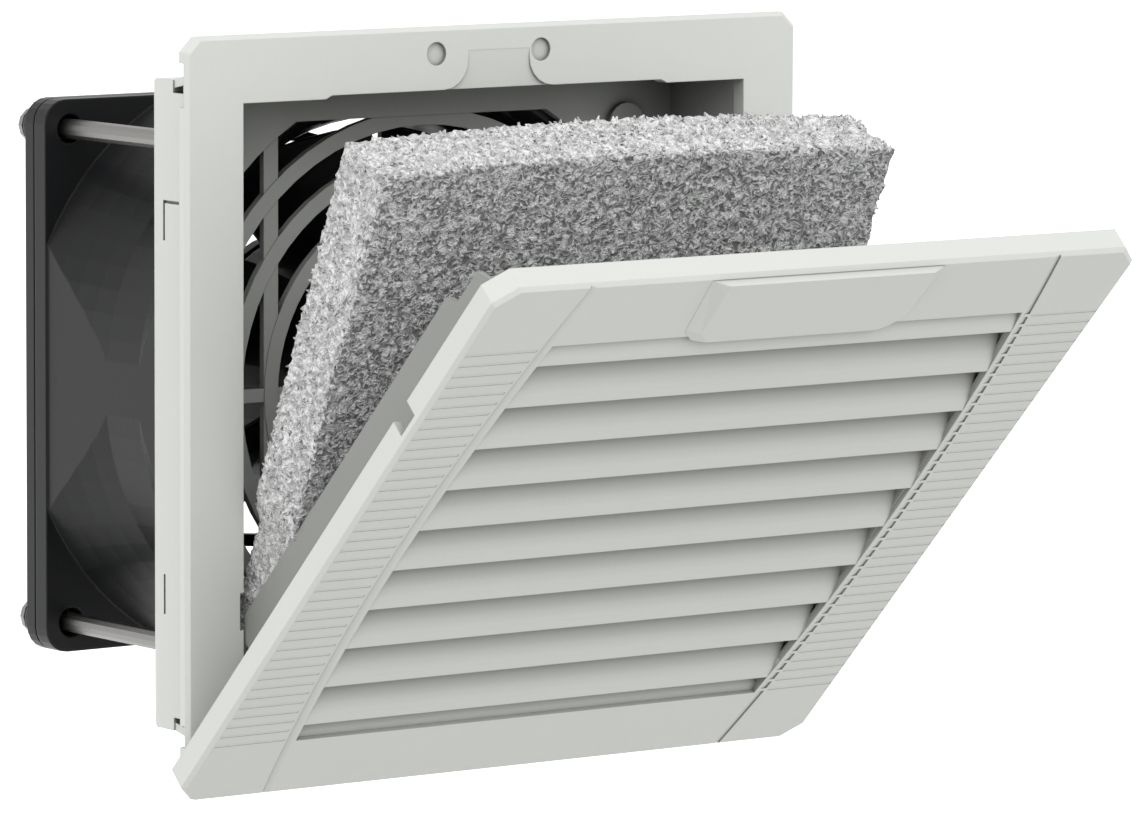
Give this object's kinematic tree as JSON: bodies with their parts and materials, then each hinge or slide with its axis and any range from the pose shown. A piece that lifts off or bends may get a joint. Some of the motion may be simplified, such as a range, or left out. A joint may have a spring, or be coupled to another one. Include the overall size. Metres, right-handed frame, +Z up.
{
  "type": "cabinet filter fan",
  "caption": "Square panel filter fan with a louvred cover hinged open at its lower edge, a leaning filter mat, a finger grille and an axial fan held on long screws behind a rear guard.",
  "frame": {"origin": "centre of the panel cut-out, on the outer face of the panel that the flange seats against", "axes": "+X to the right seen from the front, +Y into the cabinet along the fan's axis, +Z up; the cover swings forward about a line along X at its lower edge"},
  "size_m": [0.109, 0.1426, 0.1056],
  "materials": {
    "shell": "matte",
    "gasket": "foamed",
    "fleece": "coarse fibres",
    "black_body": "black painted casting",
    "black_plastic": "satin",
    "steel": "zinc plated",
    "washer": "smooth",
    "bronze": "sintered",
    "copper": "enamelled wire"
  },
  "bodies": {
    "base": {"mounting_frame": "shell", "panel_gasket": "gasket", "fan_housing": "black_body", "rear_finger_guard": "black_plastic", "stator_core": "steel", "winding_front": "copper", "winding_rear": "copper", "bearing_front": "bronze", "bearing_rear": "bronze", "terminal_block": "black_plastic", "terminal_tab_1": "steel", "terminal_tab_2": "steel", "fan_screw_1": "steel", "fan_screw_2": "steel", "fan_screw_3": "steel", "fan_screw_4": "steel", "screw_washer_1": "washer", "screw_washer_2": "washer", "screw_washer_3": "washer", "screw_washer_4": "washer"},
    "rotor": {"impeller": "black_plastic", "rotor_cup": "steel", "rotor_shaft": "steel", "shaft_clip": "steel"},
    "cover": {"front_cover": "shell"},
    "filter": {"filter_mat": "fleece"}
  },
  "joints": [
    {"name": "cover_hinge", "type": "hinge", "parent": "base", "child": "cover", "pos_m": [0, -0.0025, -0.04985], "axis": [1, 0, 0], "range_deg": [-44.85, 4]},
    {"name": "filter_lean", "type": "hinge", "parent": "base", "child": "filter", "pos_m": [0, -0.0025, -0.04985], "axis": [1, 0, 0], "range_deg": [-23.6, 2.2]},
    {"name": "impeller_spin", "type": "hinge", "parent": "base", "child": "rotor", "pos_m": [0, 0.04, 0], "axis": [0, 1, 0], "continuous": true}
  ],
  "couplings": [
    {"joint": "filter_lean", "follows": "cover_hinge", "ratio": 0.524}
  ]
}
